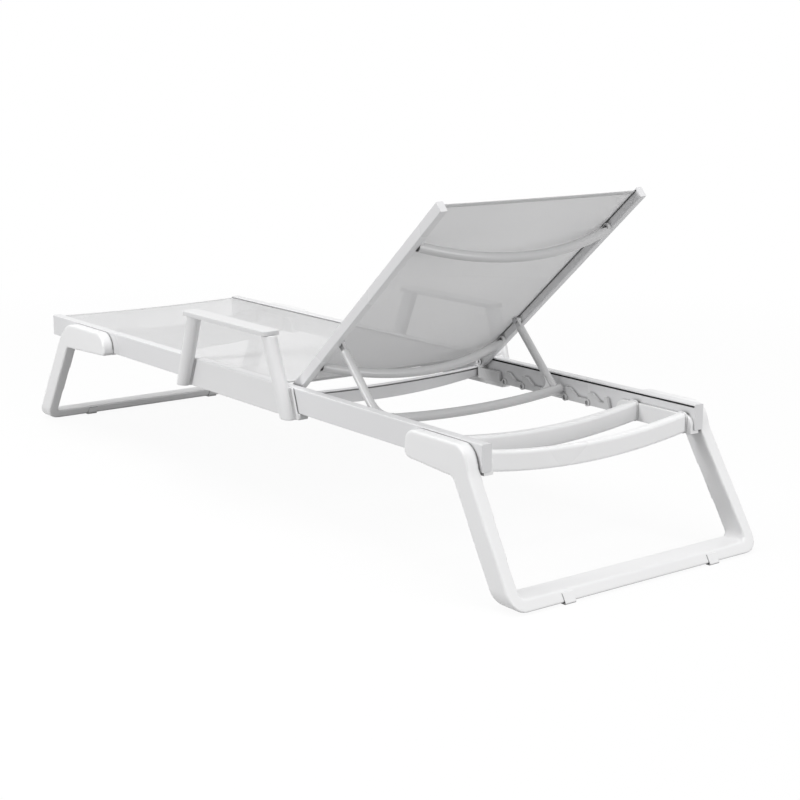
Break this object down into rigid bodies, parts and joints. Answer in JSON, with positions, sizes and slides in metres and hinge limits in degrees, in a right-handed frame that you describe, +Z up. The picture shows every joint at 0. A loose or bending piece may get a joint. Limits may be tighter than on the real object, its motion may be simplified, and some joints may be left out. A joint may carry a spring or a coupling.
{
  "type": "sun lounger",
  "caption": "Low white sun lounger with a light mesh sling bed, a stepped reclining backrest on a prop stay, armrests and leaning leg frames.",
  "frame": {"origin": "on the floor, below the middle of the lounger's length and width", "axes": "+X from the foot end to the head end, +Y to the far side, +Z up"},
  "size_m": [2.1094, 0.701, 0.7502],
  "materials": {
    "white_metal": "white powder coat",
    "white_plastic": "satin moulded",
    "sling_mesh": "open mesh",
    "bright_steel": "plain",
    "spline_rod": "plain"
  },
  "bodies": {
    "frame": {"near_side_rail": "white_metal", "far_side_rail": "white_metal", "near_foot_end_cap": "white_plastic", "far_foot_end_cap": "white_plastic", "near_head_end_cap": "white_plastic", "far_head_end_cap": "white_plastic", "rear_leg_frame": "white_plastic", "front_leg_frame": "white_plastic", "front_near_floor_pad": "white_plastic", "front_far_floor_pad": "white_plastic", "rear_near_floor_pad": "white_plastic", "rear_far_floor_pad": "white_plastic", "near_rear_cheek": "white_plastic", "far_rear_cheek": "white_plastic", "near_front_cheek": "white_plastic", "far_front_cheek": "white_plastic", "near_armrest": "white_plastic", "far_armrest": "white_plastic", "near_arm_pad": "white_plastic", "far_arm_pad": "white_plastic", "near_recline_rack": "white_plastic", "far_recline_rack": "white_plastic", "rear_outer_beam": "white_plastic", "rear_inner_beam": "white_plastic", "front_outer_beam": "white_plastic", "front_inner_beam": "white_plastic", "mid_cross_member": "white_plastic", "seat_sling": "sling_mesh", "rack_screws": "bright_steel", "leg_bolts": "bright_steel", "armrest_screws": "bright_steel", "near_hinge_pin": "bright_steel", "far_hinge_pin": "bright_steel", "near_seat_spline": "spline_rod", "far_seat_spline": "spline_rod"},
    "backrest": {"near_back_rail": "white_metal", "far_back_rail": "white_metal", "near_hinge_knuckle": "white_plastic", "far_hinge_knuckle": "white_plastic", "near_back_top_cap": "white_plastic", "far_back_top_cap": "white_plastic", "lower_back_tube": "white_metal", "upper_back_tube": "white_metal", "back_tube_bolts": "bright_steel", "back_sling": "sling_mesh", "near_back_spline": "spline_rod", "far_back_spline": "spline_rod", "near_stay_pin": "bright_steel", "far_stay_pin": "bright_steel", "near_stay_spacer": "white_plastic", "far_stay_spacer": "white_plastic"},
    "prop_stay": {"near_stay_arm": "white_metal", "far_stay_arm": "white_metal", "stay_bar": "white_metal", "near_stay_plug": "white_plastic", "far_stay_plug": "white_plastic", "near_stay_gusset": "white_metal", "far_stay_gusset": "white_metal"}
  },
  "joints": [
    {"name": "backrest_hinge", "type": "hinge", "parent": "frame", "child": "backrest", "pos_m": [0.2125, 0, 0.289], "axis": [0, -1, 0], "range_deg": [-39.9, 24.5]},
    {"name": "prop_stay_pivot", "type": "hinge", "parent": "backrest", "child": "prop_stay", "pos_m": [0.35886, 0, 0.41251], "axis": [0, -1, 0], "range_deg": [-49, 79.8]}
  ],
  "couplings": [
    {"joint": "prop_stay_pivot", "follows": "backrest_hinge", "ratio": -2}
  ]
}
